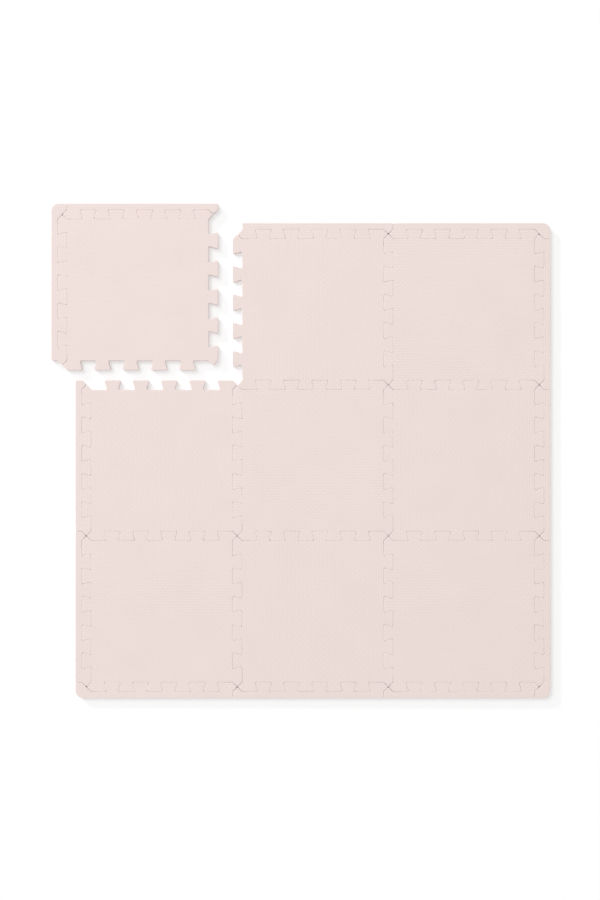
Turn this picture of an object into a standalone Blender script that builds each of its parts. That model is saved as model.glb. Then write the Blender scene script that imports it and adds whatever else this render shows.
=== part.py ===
"""Interlocking foam blocking mats: nine toothed tiles and twelve push-on edge strips.

The tiles lie three by three on the floor, with +X to the right, +Y to the back and +Z up. The underside of the
middle tile is centred on the origin. The corner tile at the back left has been lifted out of the set with its two
edge strips, and lies beside it.
"""

import math

import bpy
from mathutils import Matrix, Vector

# Driving dimensions, in metres
TILE_PITCH = 0.300  # from the middle of one tile to the middle of the next
THICKNESS = 0.012  # of the foam sheet that every piece is cut from
TOOTH_DEPTH = 0.019  # from the root of a tooth to its tip
TOOTH_FLARE = 0.003  # how far a flank leans out between half depth and the tip
TOOTH_ROUND = 0.0025  # radius on the corners of the toothed cut
EDGE_WIDTH = 0.0125  # plain foam of an edge strip, beyond the tips of the teeth
OUTER_ROUND = 0.015  # radius on the four outer corners of the set
CUT_GAP = 0.0004  # what the cutting knife leaves between two pieces that meet
LOOSE_GAP_RIGHT = 0.029  # clear floor from the loose tile's tooth tips to those on its right
LOOSE_GAP_FRONT = 0.020  # and to those in front of it

# Counts
TEETH_PER_SIDE = 5
TOOTH_ROUND_STEPS = 2  # straight runs in a rounded corner of the cut
OUTER_ROUND_STEPS = 6  # and in an outer corner of the set

# Finish
FOAM_COLOUR = (0.86, 0.74, 0.705, 1.0)
FOAM_ROUGHNESS = 0.85

# The lines that the toothed cut on the back of a tile follows, measured from the tile's middle
HALF_PITCH = TILE_PITCH / 2
ROOT_LINE = HALF_PITCH - TOOTH_DEPTH / 2
TIP_LINE = HALF_PITCH + TOOTH_DEPTH / 2
OUTER_LINE = TIP_LINE + EDGE_WIDTH

# Where the tiles stand in the set, counted in pitches from the middle one
ROWS = {"back": 1, "middle": 0, "front": -1}
COLUMNS = {"left": -1, "centre": 0, "right": 1}
LOOSE_TILE = ("back", "left")
LOOSE_SHIFT = Vector((-TOOTH_DEPTH - LOOSE_GAP_RIGHT, TOOTH_DEPTH + LOOSE_GAP_FRONT, 0))

# The sides of the set, clockwise from above, each with the places along it in the same order
SIDES = {
    "back": list(COLUMNS),
    "right": list(ROWS),
    "front": list(reversed(COLUMNS)),
    "left": list(reversed(ROWS)),
}


def clear_scene():
    for old in list(bpy.data.objects):
        bpy.data.objects.remove(old)


def foam():
    material = bpy.data.materials.new("blush_foam")
    material.use_nodes = True
    material.diffuse_color = FOAM_COLOUR
    shader = material.node_tree.nodes["Principled BSDF"]
    shader.inputs["Base Color"].default_value = FOAM_COLOUR
    shader.inputs["Roughness"].default_value = FOAM_ROUGHNESS
    shader.inputs["Metallic"].default_value = 0
    return material


def toothed_cut():
    """Corners of the cut along the back of a tile, from left to right.

    Notches and dovetail teeth take turns, and the tile's last tooth runs on into a point at its corner. All four
    sides have the same cut, so where four tiles meet their points close up like the vanes of a pinwheel.
    """
    width = ROOT_LINE / TEETH_PER_SIDE  # of a tooth or a notch, at half depth
    corners = [(-ROOT_LINE, ROOT_LINE)]
    for tooth in range(TEETH_PER_SIDE):
        left = -ROOT_LINE + (2 * tooth + 1) * width
        right = left + width
        corners += [(left + TOOTH_FLARE, ROOT_LINE), (left - TOOTH_FLARE, TIP_LINE)]
        if tooth < TEETH_PER_SIDE - 1:
            corners += [(right + TOOTH_FLARE, TIP_LINE), (right - TOOTH_FLARE, ROOT_LINE)]
    corners.append((ROOT_LINE, TIP_LINE))
    return [Vector(corner) for corner in corners]


def tile_outline():
    """The cut on all four sides, counterclockwise, with the tile's point after each last tooth."""
    corners = []
    for quarter in range(4):
        turn = Matrix.Rotation(-quarter * math.pi / 2, 2)
        side = toothed_cut() + [Vector((HALF_PITCH, HALF_PITCH))]
        corners += [turn @ corner for corner in side]
    corners.reverse()
    return rounded(inset(corners), [TOOTH_ROUND] * len(corners))


def strip_outline(with_corner):
    """A strip for the back of a tile, counterclockwise: its left end, the cut, its right end, its outer edge.

    The strip stands one tooth point to the right of its tile, as a slice off the next tile would. The last strip on
    each side of the set carries the outer corner too, and the strip round that corner butts against it.
    """
    cut = [Vector((-ROOT_LINE, TIP_LINE)), Vector((-HALF_PITCH, HALF_PITCH))] + toothed_cut()
    if with_corner:
        cut.append(Vector((TIP_LINE, ROOT_LINE)))
        square_ends = [Vector((OUTER_LINE, ROOT_LINE))]
        outer_corners = [Vector((OUTER_LINE, OUTER_LINE))]
    else:
        cut += [Vector((HALF_PITCH, HALF_PITCH)), Vector((TIP_LINE, TIP_LINE))]
        square_ends = [Vector((TIP_LINE, OUTER_LINE))]
        outer_corners = []
    start = Vector((-ROOT_LINE, OUTER_LINE))
    corners = cut + square_ends + outer_corners + [start]
    radii = [TOOTH_ROUND] * len(cut) + [0] + [OUTER_ROUND] * len(outer_corners) + [0]
    return rounded(inset(corners), radii)


def inset(corners):
    """A counterclockwise outline with all its edges moved in by half the cut's gap."""
    moved = []
    for corner, before, after in neighbours(corners):
        inward_before = (corner - before).orthogonal().normalized()
        inward_after = (after - corner).orthogonal().normalized()
        mitre = (inward_before + inward_after) / (1 + inward_before.dot(inward_after))
        moved.append(corner + mitre * CUT_GAP / 2)
    return moved


def rounded(corners, radii):
    """The outline's points, with an arc of the given radius at each corner, or the bare corner for none."""
    points = []
    for (corner, before, after), radius in zip(neighbours(corners), radii):
        if radius == 0:
            points.append(corner)
            continue
        to_before = (before - corner).normalized()
        to_after = (after - corner).normalized()
        half_angle = to_before.angle(to_after) / 2
        centre = corner + (to_before + to_after).normalized() * radius / math.sin(half_angle)
        first = corner + to_before * radius / math.tan(half_angle) - centre
        turn = math.copysign(math.pi - 2 * half_angle, to_after.cross(to_before))
        steps = OUTER_ROUND_STEPS if radius == OUTER_ROUND else TOOTH_ROUND_STEPS
        for step in range(steps + 1):
            points.append(centre + Matrix.Rotation(turn * step / steps, 2) @ first)
    return points


def neighbours(corners):
    """Each corner of a closed outline with the one before it and the one after it."""
    before = corners[-1:] + corners[:-1]
    after = corners[1:] + corners[:1]
    return list(zip(corners, before, after))


def slab(name, outline, material):
    """A flat curve of the outline, as thick as the foam sheet."""
    curve = bpy.data.curves.new(name, "CURVE")
    curve.dimensions = "2D"
    curve.fill_mode = "BOTH"
    curve.extrude = THICKNESS / 2
    spline = curve.splines.new("POLY")
    spline.points.add(len(outline) - 1)
    for point, (x, y) in zip(spline.points, outline):
        point.co = (x, y, 0, 1)
    spline.use_cyclic_u = True
    curve.materials.append(material)
    return curve


def place(name, shape, parent, collection):
    piece = bpy.data.objects.new(name, shape)
    piece.parent = parent
    collection.objects.link(piece)
    return piece


def build():
    clear_scene()
    collection = bpy.data.collections.new("blocking_mats")
    bpy.context.scene.collection.children.link(collection)
    floor = place("floor_level", None, None, collection)

    material = foam()
    tile_shape = slab("tile", tile_outline(), material)
    strip_shape = slab("edge_strip", strip_outline(False), material)
    corner_strip_shape = slab("corner_edge_strip", strip_outline(True), material)

    tiles = {}
    for row, up in ROWS.items():
        for column, across in COLUMNS.items():
            tile = place(f"tile_{row}_{column}", tile_shape, floor, collection)
            tile.location = (across * TILE_PITCH, up * TILE_PITCH, THICKNESS / 2)
            tiles[row, column] = tile
    tiles[LOOSE_TILE].location += LOOSE_SHIFT

    for quarter, (side, spots) in enumerate(SIDES.items()):
        for spot in spots:
            tile = tiles[(side, spot) if side in ROWS else (spot, side)]
            if spot == spots[-1]:
                strip = place(f"edge_{side}_{spot}_corner", corner_strip_shape, tile, collection)
            else:
                strip = place(f"edge_{side}_{spot}", strip_shape, tile, collection)
            strip.rotation_euler.z = -quarter * math.pi / 2


build()
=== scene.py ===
# %% [markdown]
# # Blocking mats: nine foam tiles and their edge strips
#
# Damp knitting is pinned out on mats like these until it dries in shape. Each tile is die-cut from a sheet
# of closed-cell foam, and the dovetail teeth on its four sides lock it to the next one. Strips with the same
# teeth give the set a straight outer edge. One tile has been lifted out with its two strips, and lies beside
# the set.
#
# The CAD frame already has every piece in its place. This lesson gives each one what a plain solid lacks:
# edges that the cutting die has rounded, an embossed face, a face that isn't quite level, and a foam finish.

# %% Load the CAD frame
import math

import bmesh
import bpy
from mathutils import Matrix, Vector, noise


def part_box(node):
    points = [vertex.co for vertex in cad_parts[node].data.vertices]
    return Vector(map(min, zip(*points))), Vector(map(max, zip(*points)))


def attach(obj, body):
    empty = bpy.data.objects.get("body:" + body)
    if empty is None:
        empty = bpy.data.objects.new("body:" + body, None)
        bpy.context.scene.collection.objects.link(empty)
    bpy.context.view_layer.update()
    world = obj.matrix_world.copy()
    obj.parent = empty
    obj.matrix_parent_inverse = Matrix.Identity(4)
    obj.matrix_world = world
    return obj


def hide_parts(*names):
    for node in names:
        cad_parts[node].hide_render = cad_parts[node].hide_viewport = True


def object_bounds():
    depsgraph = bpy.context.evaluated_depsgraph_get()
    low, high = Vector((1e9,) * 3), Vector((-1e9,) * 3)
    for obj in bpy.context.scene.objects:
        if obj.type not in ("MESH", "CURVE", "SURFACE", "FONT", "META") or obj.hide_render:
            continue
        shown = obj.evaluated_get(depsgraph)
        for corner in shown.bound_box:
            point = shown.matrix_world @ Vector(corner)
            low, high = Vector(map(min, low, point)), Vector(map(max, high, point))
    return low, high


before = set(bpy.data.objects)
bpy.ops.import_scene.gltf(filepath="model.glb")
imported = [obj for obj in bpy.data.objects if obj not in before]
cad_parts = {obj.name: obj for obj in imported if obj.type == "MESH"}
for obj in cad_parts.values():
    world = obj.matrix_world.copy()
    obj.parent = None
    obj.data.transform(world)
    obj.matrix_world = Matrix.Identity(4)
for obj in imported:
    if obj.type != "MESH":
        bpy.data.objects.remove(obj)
cad_low, cad_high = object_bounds()
scene = bpy.context.scene
print(len(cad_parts), "CAD pieces in a box of", [round(side, 4) for side in cad_high - cad_low], "m")

# %% [markdown]
# ## The camera
#
# The photo looks straight down. An orthographic camera would do that too, but it would hide the cut walls of
# the loose tile, and the photo shows a sliver of those that face the middle of the picture. So the camera
# hangs high above the floor, with a long lens. An unturned camera in Blender looks down, with +Y at the top
# of the picture.

# %% Hang the camera over the mats
PICTURE_HEIGHT = 900  # pixels
METRES_PER_PIXEL = 0.00199
CAMERA_HEIGHT = 3.6
CAMERA_OFF_MIDDLE = Vector((-0.0017, 0.0014, 0))  # the mats lie a pixel right of and below the photo's middle

camera = bpy.data.objects.new("camera_above", bpy.data.cameras.new("camera_above"))
scene.collection.objects.link(camera)
scene.camera = camera
mats_middle = (cad_low + cad_high) / 2
camera.location = mats_middle + CAMERA_OFF_MIDDLE + Vector((0, 0, CAMERA_HEIGHT))
camera.data.lens = camera.data.sensor_width * CAMERA_HEIGHT / (PICTURE_HEIGHT * METRES_PER_PIXEL)
print("lens of", round(camera.data.lens, 1), "mm")

# %% [markdown]
# ## Light and floor
#
# The photo has a white ground, with a faint soft shadow to the right of the mats and below them, so the light
# comes from the upper left. The shadow is dark for a few pixels and then pale for a few more, as a high lamp
# and a low one would make it. A white world lights the mats evenly, and these two lamps add the direction.
# Together they light a level face so that a colour shows about as it is written. The ground is white to the
# camera because of Light Path, and not because more light falls on the mats.

# %% A world of even light
HIGH_SHARE = 0.28  # of the light on a level face
LOW_SHARE = 0.14
FILL_SHARE = 1 - HIGH_SHARE - LOW_SHARE
FILL_COLOUR = (1.0, 0.995, 0.985, 1)


def add_node(tree, kind, values=None, **settings):
    """A new node with its sockets filled: a value is set on a socket, and another node's output is linked."""
    made = tree.nodes.new(kind)
    for name, value in settings.items():
        setattr(made, name, value)
    for socket, value in (values or {}).items():
        if isinstance(value, bpy.types.NodeSocket):
            tree.links.new(value, made.inputs[socket])
        else:
            made.inputs[socket].default_value = value
    return made


def empty_tree(owner):
    """The node tree of a world or a material, with nothing in it."""
    owner.use_nodes = True
    owner.node_tree.nodes.clear()
    return owner.node_tree


scene.view_settings.view_transform = "Standard"
scene.world = bpy.data.worlds.new("white_room")
room = empty_tree(scene.world)
fill = add_node(room, "ShaderNodeBackground", {"Color": FILL_COLOUR, "Strength": FILL_SHARE})
print("the world gives", round(FILL_SHARE, 2), "of the light")

# %% White where the world is seen
WHITE = (1, 1, 1, 1)


def calculate(tree, operation, *values):
    """What comes out of a Math node."""
    return add_node(tree, "ShaderNodeMath", dict(enumerate(values)), operation=operation).outputs[0]


def seen_rays(tree):
    """1 for the rays that show the ground itself or its reflection, and 0 for those that carry its light."""
    path = add_node(tree, "ShaderNodeLightPath").outputs
    mirrored = calculate(tree, "MAXIMUM", path["Is Glossy Ray"], path["Is Transmission Ray"])
    return calculate(tree, "MAXIMUM", path["Is Camera Ray"], mirrored)


def mix(tree, share, first, second):
    """The first shader, with a share of the second."""
    return add_node(tree, "ShaderNodeMixShader", {0: share, 1: first, 2: second}).outputs[0]


white = add_node(room, "ShaderNodeBackground", {"Color": WHITE, "Strength": 1.0})
sky = mix(room, seen_rays(room), fill.outputs[0], white.outputs[0])
add_node(room, "ShaderNodeOutputWorld", {"Surface": sky})
print("the world has", len(room.nodes), "nodes")

# %% Two lamps at the upper left
LAMP_COLOUR = (0.985, 1.0, 1.015)


def hang_lamp(name, elevation, distance, size, share):
    """A square lamp at the upper left that gives a level face its share of the light."""
    lamp = bpy.data.objects.new(name, bpy.data.lights.new(name, "AREA"))
    scene.collection.objects.link(lamp)
    rise = math.radians(elevation)
    away = Vector((-math.cos(rise), math.cos(rise), math.sqrt(2) * math.sin(rise))).normalized()
    lamp.location = mats_middle + away * distance
    lamp.rotation_euler = (-away).to_track_quat("-Z", "Y").to_euler()
    lamp.data.size = size
    lamp.data.color = LAMP_COLOUR
    # Straight above a white face, pi squared times the distance squared in watts lights it to full white
    lamp.data.energy = share * math.pi**2 * distance**2 / away.z
    print(name, "of", round(lamp.data.energy), "W")


hang_lamp("high_lamp", elevation=55, distance=18, size=7, share=HIGH_SHARE)
hang_lamp("low_lamp", elevation=21, distance=12, size=1.5, share=LOW_SHARE)

# %% A floor
FLOOR_SIZE = 14.0
FLOOR_DROP = 0.0003  # below the mats, so that the two faces don't share a plane

flat = bmesh.new()
bmesh.ops.create_grid(flat, x_segments=1, y_segments=1, size=FLOOR_SIZE / 2)
bmesh.ops.translate(flat, verts=flat.verts, vec=(0, 0, -FLOOR_DROP))
floor = bpy.data.objects.new("floor", bpy.data.meshes.new("floor"))
flat.to_mesh(floor.data)
flat.free()
scene.collection.objects.link(floor)
print("a floor of", FLOOR_SIZE, "m")

# %% Floor paint that is white and keeps the shadow
BOUNCE_COLOUR = (0.85, 0.85, 0.85, 1)  # of the light that the floor throws back at the mats
FLOOR_SHADE = 0.60  # how much of the white that is seen comes from light, which a shadow can take away
FLOOR_GLOW = 0.445
SHADOW_ENDS = (0.75, 1.15)  # metres from the middle, between which the floor turns as white as the world

floor.data.materials.append(bpy.data.materials.new("white_floor"))
paint = empty_tree(floor.data.materials[0])
bounce = add_node(paint, "ShaderNodeBsdfDiffuse", {"Color": BOUNCE_COLOUR})
shade = add_node(paint, "ShaderNodeBsdfDiffuse", {"Color": (FLOOR_SHADE,) * 3 + (1,)})
glow = add_node(paint, "ShaderNodeEmission", {"Color": WHITE, "Strength": FLOOR_GLOW})
near = add_node(paint, "ShaderNodeAddShader", {0: shade.outputs[0], 1: glow.outputs[0]})
far = add_node(paint, "ShaderNodeEmission", {"Color": WHITE, "Strength": 1.0})
place = add_node(paint, "ShaderNodeTexCoord").outputs["Object"]
distance = add_node(paint, "ShaderNodeVectorMath", {0: place}, operation="LENGTH").outputs["Value"]
fade_ends = {"Value": distance, "From Min": SHADOW_ENDS[0], "From Max": SHADOW_ENDS[1]}
fade = add_node(paint, "ShaderNodeMapRange", fade_ends)
shown = mix(paint, fade.outputs[0], near.outputs[0], far.outputs[0])
painted = mix(paint, seen_rays(paint), bounce.outputs[0], shown)
add_node(paint, "ShaderNodeOutputMaterial", {"Surface": painted})
print("in full light the floor near the mats shows at", round(FLOOR_SHADE + FLOOR_GLOW, 3))

# %% [markdown]
# ## The foam's finish
#
# The foam is one pale blush colour all through. What keeps it from looking like paint is small: soft clouds
# in the tone, painted shade in the grooves and a painted highlight on the rims, a fine grain on the skin, and
# open cells on the walls that the die has cut. The tone and the grain are on every face, so they are node
# groups, built once and given other values on the skin, the walls and the underside.

# %% Soft clouds in the tone
CLOUDS = 14.0  # to a metre
SPECKS = 700.0


def new_group(name, sockets):
    """An empty node group; sockets has a name, a direction and a kind for each."""
    group = bpy.data.node_groups.new(name, "ShaderNodeTree")
    for label, direction, kind in sockets:
        group.interface.new_socket(label, in_out=direction, socket_type="NodeSocket" + kind)
    return group


cloudy_tone = new_group(
    "cloudy_tone",
    [
        ("Colour", "INPUT", "Color"),
        ("Depth", "INPUT", "Float"),
        ("Shade", "INPUT", "Float"),
        ("Colour", "OUTPUT", "Color"),
    ],
)
given = add_node(cloudy_tone, "NodeGroupInput").outputs
place = add_node(cloudy_tone, "ShaderNodeTexCoord").outputs["Object"]
clouds = add_node(cloudy_tone, "ShaderNodeTexNoise", {"Vector": place, "Scale": CLOUDS, "Detail": 3.0})
specks = add_node(cloudy_tone, "ShaderNodeTexNoise", {"Vector": place, "Scale": SPECKS, "Detail": 2.0})
both = calculate(cloudy_tone, "ADD", clouds.outputs[0], specks.outputs[0])
around_zero = calculate(cloudy_tone, "SUBTRACT", both, 1.0)
swing = calculate(cloudy_tone, "MULTIPLY_ADD", around_zero, given["Depth"], 1.0)
# Shade is painted shade taken off the tone; where it is below 0 it is a painted highlight
shaded = calculate(cloudy_tone, "SUBTRACT", swing, given["Shade"])
toned = add_node(cloudy_tone, "ShaderNodeVectorMath", {0: given["Colour"], 1: shaded}, operation="MULTIPLY")
add_node(cloudy_tone, "NodeGroupOutput", {"Colour": toned.outputs[0]})
print("cloudy_tone has", len(cloudy_tone.nodes), "nodes")

# %% Grain and open cells
GRAINS = 1500.0  # to a metre
CELLS = 1100.0
ROUGHNESS = {"From Max": 1.0, "To Min": 0.62, "To Max": 0.86}  # from the bottom of a cell to its rim

foam_grain = new_group(
    "foam_grain",
    [
        ("Grain", "INPUT", "Float"),
        ("Cells", "INPUT", "Float"),
        ("Height", "OUTPUT", "Float"),
        ("Roughness", "OUTPUT", "Float"),
    ],
)
given = add_node(foam_grain, "NodeGroupInput").outputs
place = add_node(foam_grain, "ShaderNodeTexCoord").outputs["Object"]
grain = add_node(foam_grain, "ShaderNodeTexNoise", {"Vector": place, "Scale": GRAINS, "Detail": 2.0})
cells = add_node(foam_grain, "ShaderNodeTexVoronoi", {"Vector": place, "Scale": CELLS}, feature="SMOOTH_F1")
fine = calculate(foam_grain, "MULTIPLY", grain.outputs[0], given["Grain"])
height = calculate(foam_grain, "MULTIPLY_ADD", cells.outputs["Distance"], given["Cells"], fine)
rough = add_node(foam_grain, "ShaderNodeMapRange", {"Value": height, **ROUGHNESS})
add_node(foam_grain, "NodeGroupOutput", {"Height": height, "Roughness": rough.outputs[0]})
print("foam_grain has", len(foam_grain.nodes), "nodes")

# %% Three finishes of one foam
BLUSH = (0.867, 0.736, 0.707, 1)
GLOSS = 0.25
PAINTED_SHADE_AMOUNT = 0.025  # painted shade in the grooves, and a painted highlight on the rims
BUMP_STRENGTH = 0.6


def foam_finish(name, depth, grain, cells, bump):
    """A foam material. Depth is that of the clouds, and bump the height in metres of the grain and cells."""
    finish = bpy.data.materials.new(name)
    finish.use_nodes = True
    tree = finish.node_tree
    shader = tree.nodes["Principled BSDF"]
    shader.inputs["Specular IOR Level"].default_value = GLOSS
    # The attribute holds painted shade for the grooves and a painted highlight for the rims
    groove_shade_rim_highlight = add_node(tree, "ShaderNodeAttribute", attribute_name="groove_shade_rim_highlight").outputs["Fac"]
    tones = {"Colour": BLUSH, "Depth": depth, "Shade": calculate(tree, "MULTIPLY", groove_shade_rim_highlight, PAINTED_SHADE_AMOUNT)}
    tone = add_node(tree, "ShaderNodeGroup", node_tree=cloudy_tone, values=tones)
    surface = add_node(tree, "ShaderNodeGroup", node_tree=foam_grain, values={"Grain": grain, "Cells": cells})
    raises = {"Height": surface.outputs["Height"], "Distance": bump, "Strength": BUMP_STRENGTH}
    raised = add_node(tree, "ShaderNodeBump", raises)
    tree.links.new(tone.outputs["Colour"], shader.inputs["Base Color"])
    tree.links.new(surface.outputs["Roughness"], shader.inputs["Roughness"])
    tree.links.new(raised.outputs["Normal"], shader.inputs["Normal"])
    return finish


skin = foam_finish("blush_skin", depth=0.05, grain=0.8, cells=0.15, bump=0.0001)
cut_wall = foam_finish("blush_cut_wall", depth=0.08, grain=0.3, cells=0.8, bump=0.0004)
underside = foam_finish("blush_underside", depth=0.05, grain=0.9, cells=0.3, bump=0.0002)
FINISHES = [skin, cut_wall, underside]
print("finishes:", [finish.name for finish in FINISHES])

# %% [markdown]
# ## One blank of each shape
#
# All nine tiles are cut by the same die, and so are the plain strips and those with a corner. So each shape
# is made once, from a merged copy of its CAD node, moved until its tile's middle is at the origin. A CAD mesh
# is loose triangles: they are welded first, and the flat ones joined into whole faces, because a bevel
# follows every edge.

# %% Weld a copy of one CAD piece of each shape
THICKNESS = cad_high.z - cad_low.z
SAME_PLACE = 0.000001  # corners this close are one
FLAT_TURN = math.radians(1)  # two faces that turn less than this are one
BLANK_NODES = {  # the CAD piece that gives the shape, and its tile
    "tile": ("tile_middle_centre", "tile_middle_centre"),
    "edge_strip": ("edge_back_centre", "tile_back_centre"),
    "corner_edge_strip": ("edge_back_right_corner", "tile_back_right"),
}


def tile_middle(tile):
    low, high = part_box(tile)
    return Vector(((low.x + high.x) / 2, (low.y + high.y) / 2, 0))


def welded_blank(node, tile):
    """A merged copy of a CAD piece, with its tile's middle at the origin."""
    blank = bmesh.new()
    blank.from_mesh(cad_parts[node].data)
    bmesh.ops.translate(blank, verts=blank.verts, vec=-tile_middle(tile))
    bmesh.ops.remove_doubles(blank, verts=blank.verts, dist=SAME_PLACE)
    bmesh.ops.dissolve_limit(blank, angle_limit=FLAT_TURN, verts=blank.verts, edges=blank.edges)
    return blank


blanks = {name: welded_blank(*nodes) for name, nodes in BLANK_NODES.items()}
print("faces of the blanks:", {name: len(blank.faces) for name, blank in blanks.items()})

# %% [markdown]
# ## Edges that the die has rounded
#
# A cutting die drags the skin of the foam down with it, so a cut foam edge is never sharp. Bevel makes this
# round. It is used twice: first on the upright edges, where the CAD has only two straight runs in each
# rounded corner, and then on the rims above and below, because these catch the light along every seam.

# %% Round the corners and the rims
CORNER_RADIUS = 0.0022
RIM_RADIUS = 0.0004
RIM_SEGMENTS = 3
SMOOTH_TURN = 5  # degrees; an upright edge that turns less than this is already smooth
SEGMENT_TURN = 15  # degrees, about what one segment of a rounded corner turns
LEVEL = 0.99  # the Z of a face's normal, from which the face counts as level


def is_upright(edge):
    return abs(edge.verts[0].co.z - edge.verts[1].co.z) > THICKNESS / 2


def is_level(face):
    return abs(face.normal.z) > LEVEL


def round_edges(blank, edges, offset, segments):
    bmesh.ops.bevel(
        blank, geom=edges, offset=offset, affect="EDGES", segments=segments, profile=0.5, material=-1
    )
    blank.normal_update()


def soften_edges(blank):
    """Round the upright edges to one radius, with a wider bevel where they turn more, and then the rims."""
    by_turn = {}
    for edge in blank.edges:
        if is_upright(edge):
            turn = round(math.degrees(edge.calc_face_angle(0)))
            by_turn.setdefault(turn, []).append(edge)
    for turn, edges in by_turn.items():
        if turn > SMOOTH_TURN:
            offset = CORNER_RADIUS * math.tan(math.radians(turn) / 2)
            round_edges(blank, edges, offset, max(2, turn // SEGMENT_TURN))
    rims = [edge for edge in blank.edges if sum(is_level(face) for face in edge.link_faces) == 1]
    round_edges(blank, rims, RIM_RADIUS, RIM_SEGMENTS)


for blank in blanks.values():
    soften_edges(blank)
print("faces with rounded edges:", {name: len(blank.faces) for name, blank in blanks.items()})

# %% [markdown]
# ## The embossed face
#
# The photo shows faint lines and checks on the tiles, from a woven pattern that is pressed into the foam:
# short bars in rows, each row shifted by half a bar, with shallow grooves between them. A bump map could draw
# the grooves, but then they would be gone from the mesh. Here the face is sliced along the bottom and both
# sides of every groove, and the corners that lie in a groove are pressed down. A tooth then cuts through the
# pattern, as the die does.

# %% Slice faces across an axis
ON_THE_CUT = 0.00002  # a corner this close to a cut counts as on it, so that no slivers are left
SHORTEST_EDGE = 0.0001  # after the slicing, shorter edges than this are closed up
RIM_FOOT = THICKNESS - RIM_RADIUS


def is_underside(face):
    return is_level(face) and face.calc_center_median().z < THICKNESS / 2


def outer_faces(blank):
    """The top, the rims and the walls. Walls are sliced with the rest, so that their faces stay small too."""
    return [face for face in blank.faces if not is_underside(face)]


def edges_and_corners(faces):
    """Each edge and corner of the faces once, in an order that is the same in every run."""
    edges = dict.fromkeys(edge for face in faces for edge in face.edges)
    corners = dict.fromkeys(vert for face in faces for vert in face.verts)
    return list(edges), list(corners)


def span(face, along):
    places = [vert.co[along] for vert in face.verts]
    return min(places), max(places)


def slice_faces(blank, faces, along, places):
    """Cut the faces by a plane across an axis at each of the places, and mark the cuts as seams."""
    normal = Vector((along == 0, along == 1, 0))
    spans = {face: span(face, along) for face in faces}
    for place in places:
        crossed = [face for face, (low, high) in spans.items() if low < place < high]
        edges, corners = edges_and_corners(crossed)
        for face in crossed:
            del spans[face]
        cut = bmesh.ops.bisect_plane(
            blank, geom=crossed + edges + corners, plane_co=normal * place, plane_no=normal, dist=ON_THE_CUT
        )
        for part in cut["geom_cut"]:
            if isinstance(part, bmesh.types.BMEdge):
                part.seam = True
        pieces = [part for part in cut["geom"] if isinstance(part, bmesh.types.BMFace)]
        spans.update({part: span(part, along) for part in pieces})
    return list(spans)


print("faces to slice:", {name: len(outer_faces(blank)) for name, blank in blanks.items()})

# %% Slice the blanks along the grooves
TILE_PITCH = round(tile_middle("tile_middle_right").x - tile_middle("tile_middle_centre").x, 4)
ROW_PITCH = TILE_PITCH / 56
BAR_LENGTH = TILE_PITCH / 28
ROW_SHIFT = 0.375 * ROW_PITCH  # of the pattern from a tile's middle, so that no groove runs along a cut edge
BAR_SHIFT = 0.35 * BAR_LENGTH
GROOVE_REACH = 0.0012  # from the bottom of a groove to the level top of a bar


def row_at(y):
    return math.floor((y - ROW_SHIFT) / ROW_PITCH)


def bars_shift(row):
    """Every other row is shifted by half a bar."""
    return BAR_SHIFT + row % 2 * BAR_LENGTH / 2


def groove_cuts(faces, along, pitch, shift):
    """Where the faces are sliced: along the bottom of each groove, and where its two sides end."""
    reach = [vert.co[along] - shift for face in faces for vert in face.verts]
    counts = range(math.floor(min(reach) / pitch), math.ceil(max(reach) / pitch) + 1)
    return [shift + count * pitch + side * GROOVE_REACH for count in counts for side in (-1, 0, 1)]


def slice_blank(blank):
    """Slice a blank into rows and bars. Its top is triangles first: a plane cuts a toothed face wrongly."""
    bmesh.ops.triangulate(blank, faces=[face for face in outer_faces(blank) if is_level(face)])
    outside = outer_faces(blank)
    rows = slice_faces(blank, outside, 1, groove_cuts(outside, 1, ROW_PITCH, ROW_SHIFT))
    for odd in (0, 1):
        here = [part for part in rows if row_at(part.calc_center_median().y) % 2 == odd]
        slice_faces(blank, here, 0, groove_cuts(here, 0, BAR_LENGTH, bars_shift(odd)))
    edges, corners = edges_and_corners(outer_faces(blank))
    bmesh.ops.dissolve_limit(blank, angle_limit=FLAT_TURN, edges=edges, verts=corners, delimit={"SEAM"})
    bmesh.ops.dissolve_degenerate(blank, dist=SHORTEST_EDGE, edges=blank.edges)


for blank in blanks.values():
    slice_blank(blank)
print("faces after the slicing:", {name: len(blank.faces) for name, blank in blanks.items()})

# %% Press the grooves
GROOVE_DEPTH = 0.00014
END_SHARE = 0.6  # how deep a groove between the ends of two bars is, against one between two rows
PAINTED_RIM_HIGHLIGHT = -1  # the painted highlight on a rim, where the bottom of a groove has 1 of painted shade
RIM_NORMAL = 0.95  # the Z of a corner's normal, below which the corner is on the rim


def groove_share(place, pitch):
    """How far down in a groove a place is: 1 at the bottom and 0 on the level top of a bar."""
    off_bottom = abs(place - pitch * round(place / pitch))
    return max(0, 1 - off_bottom / GROOVE_REACH)


def press_grooves(blank):
    """Press down the corners in a groove, less towards the rim's foot, and note the painted shade of each
    corner in a groove and the painted highlight of each on the rim.
    """
    groove_shade_rim_highlight = blank.verts.layers.float.new("groove_shade_rim_highlight")
    for vert in blank.verts:
        if vert.co.z > RIM_FOOT:
            between_rows = groove_share(vert.co.y - ROW_SHIFT, ROW_PITCH)
            between_ends = groove_share(vert.co.x - bars_shift(row_at(vert.co.y)), BAR_LENGTH)
            share = max(between_rows, END_SHARE * between_ends)
            # Painted shade in a groove, and a painted highlight on the rim
            vert[groove_shade_rim_highlight] = share if vert.normal.z > RIM_NORMAL else PAINTED_RIM_HIGHLIGHT
            vert.co.z -= share * GROOVE_DEPTH * (vert.co.z - RIM_FOOT) / RIM_RADIUS


for blank in blanks.values():
    press_grooves(blank)
print("grooves", GROOVE_DEPTH * 1000, "mm deep")

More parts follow.
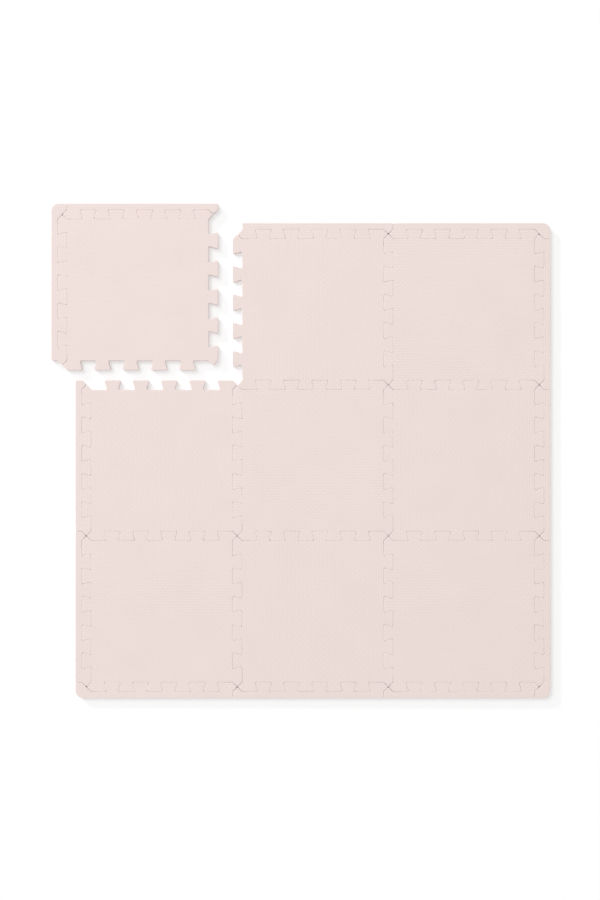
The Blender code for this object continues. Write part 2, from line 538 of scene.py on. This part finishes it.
# %% Give the shapes their finishes
def foam_shape(name, blank):
    """A mesh of a finished blank, with skin above, cut walls round it and the underside below."""
    for face in blank.faces:
        height = face.calc_center_median().z
        face.smooth = not is_underside(face)
        face.material_index = FINISHES.index(cut_wall)
        if height > RIM_FOOT:
            face.material_index = FINISHES.index(skin)
        elif height < RIM_RADIUS:
            face.material_index = FINISHES.index(underside)
    # Split into triangles here, because an export would split a long face into thin ones
    bmesh.ops.triangulate(blank, faces=blank.faces, quad_method="BEAUTY", ngon_method="BEAUTY")
    shape = bpy.data.meshes.new(name)
    blank.to_mesh(shape)
    blank.free()
    for finish in FINISHES:
        shape.materials.append(finish)
    print(name, "has", len(shape.polygons), "triangles")
    return shape


shapes = {name: foam_shape(name, blank) for name, blank in blanks.items()}

# %% [markdown]
# ## Lay out the set
#
# Each CAD piece gets a copy of its shape, turned and moved in the mesh to where the CAD has it. The strips
# turn with their side of the set. A tile fits in any of four ways, and the photo's pattern changes direction
# from tile to tile, so every other tile is turned a quarter.
#
# Real foam isn't quite level or straight. Slow noise lifts the faces by a fraction of a millimetre, and
# quicker noise swells the cut walls into the gap that the CAD leaves between two pieces. So a seam shows in
# some places and closes in others, as the seams in the photo do. It stays open at a tile's corners, because
# the thin points that meet there give way. The swelling is under half the gap, so that no two pieces touch.

# %% Find each piece's shape and turn
QUARTERS = {"back": 0, "right": 1, "front": 2, "left": 3}  # clockwise
ROWS = {"back": 1, "middle": 0, "front": -1}
COLUMNS = {"left": -1, "centre": 0, "right": 1}


def tile_of(strip):
    """The tile that a strip is pushed on to, such as tile_middle_left for edge_left_middle."""
    side, spot = strip.split("_")[1:3]
    return f"tile_{side}_{spot}" if side in ROWS else f"tile_{spot}_{side}"


def shape_and_turn(node):
    """The shape of a piece, and its turn in quarters, counterclockwise."""
    kind, first, second = node.split("_")[:3]
    if kind == "tile":
        return shapes["tile"], (ROWS[first] + COLUMNS[second]) % 2
    return shapes["corner_edge_strip" if node.endswith("_corner") else "edge_strip"], -QUARTERS[first]


print("quarter turns:", {node: shape_and_turn(node)[1] for node in sorted(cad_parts)})

# %% Lay the pieces, each a little uneven
WAVES = 12.0  # of the unevenness, to a metre
UNEVENNESS = 0.00025
BULGES = 45.0  # of the cut walls, to a metre
SWELLING = 0.00014
SWELLING_SWING = 1.2
MOST_SWELLING = 0.00018
POINT_REACH = 0.03  # from a tile's corner to where its walls swell in full
POINT_SHRINKING = 0.00012  # of the walls at the corner itself
NOISE_STEP = 7.3  # from one piece to the next, so that no two are alike


def settle(mesh, seed):
    """Make a copy uneven. The normals are read first, as Blender works them all out again after a move."""
    away = Vector((0, 0, seed * NOISE_STEP))
    normals = [vert.normal.copy() for vert in mesh.vertices]
    for vert, normal in zip(mesh.vertices, normals):
        level = Vector((vert.co.x, vert.co.y, 0))
        lift = UNEVENNESS * noise.noise(level * WAVES + away)
        bulge = 1 + SWELLING_SWING * noise.noise(level * BULGES + away)
        off_point = math.hypot(abs(level.x) - TILE_PITCH / 2, abs(level.y) - TILE_PITCH / 2)
        firm = min(1, off_point / POINT_REACH)
        swelling = firm * min(MOST_SWELLING, SWELLING * bulge) - (1 - firm) * POINT_SHRINKING
        vert.co += Vector((normal.x * swelling, normal.y * swelling, lift * vert.co.z / THICKNESS))


def lay(node, seed):
    shape, quarters = shape_and_turn(node)
    mesh = shape.copy()
    middle = tile_middle(node if node.startswith("tile") else tile_of(node))
    settle(mesh, seed)
    mesh.transform(Matrix.Translation(middle) @ Matrix.Rotation(quarters * math.pi / 2, 4, "Z"))
    piece = bpy.data.objects.new("foam_" + node, mesh)
    scene.collection.objects.link(piece)
    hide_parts(node)
    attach(piece, node)
    return piece


laid = [lay(node, seed) for seed, node in enumerate(sorted(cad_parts))]
print(len(laid), "pieces with", sum(len(piece.data.polygons) for piece in laid), "triangles")
